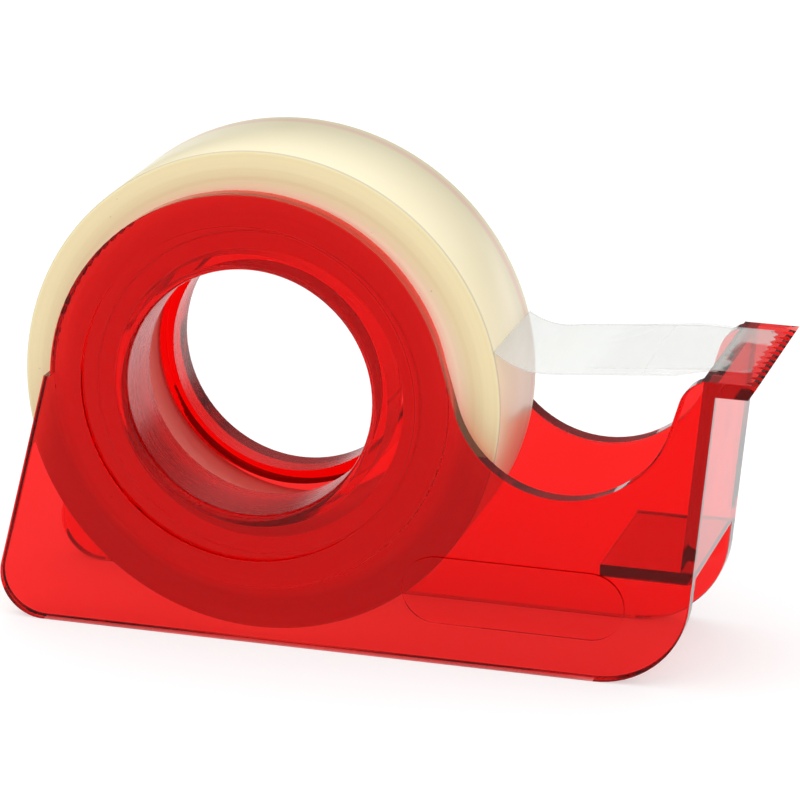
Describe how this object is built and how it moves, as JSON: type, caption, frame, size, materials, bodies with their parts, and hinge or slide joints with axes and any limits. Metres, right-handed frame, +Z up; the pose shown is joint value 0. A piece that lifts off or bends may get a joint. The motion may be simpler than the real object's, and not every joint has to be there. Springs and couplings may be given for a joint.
{
  "type": "handheld tape dispenser",
  "caption": "Small see-through red plastic tape dispenser: two side plates joined at a toothed nose, with a hub that holds a roll of clear tape between them.",
  "frame": {"origin": "under the middle of the dispenser, on the surface it stands on", "axes": "+X points to the toothed nose, +Y is along the hub axis from plate to plate, +Z is up"},
  "size_m": [0.0672, 0.0186, 0.0435],
  "materials": {
    "red_plastic": "polished see-through polystyrene",
    "core_plastic": "plain moulded core",
    "wound_tape": "wound clear tape with a cream tint",
    "film": "clear film"
  },
  "bodies": {
    "dispenser": {"dispenser_body": "red_plastic", "tape_strip": "film"},
    "roll": {"tape_core": "core_plastic", "tape_winding": "wound_tape"},
    "drawn_tape": {"tape_end": "film"}
  },
  "joints": [
    {"name": "tape_pull", "type": "slide", "parent": "dispenser", "child": "drawn_tape", "axis": [0.9961, 0, 0.0879], "range_m": [0, 0.01]},
    {"name": "roll_spin", "type": "hinge", "parent": "dispenser", "child": "roll", "pos_m": [-0.01056, 0, 0.02205], "axis": [0, 1, 0], "continuous": true}
  ],
  "couplings": [
    {"joint": "roll_spin", "follows": "tape_pull", "rad_per_m": 46.729}
  ]
}
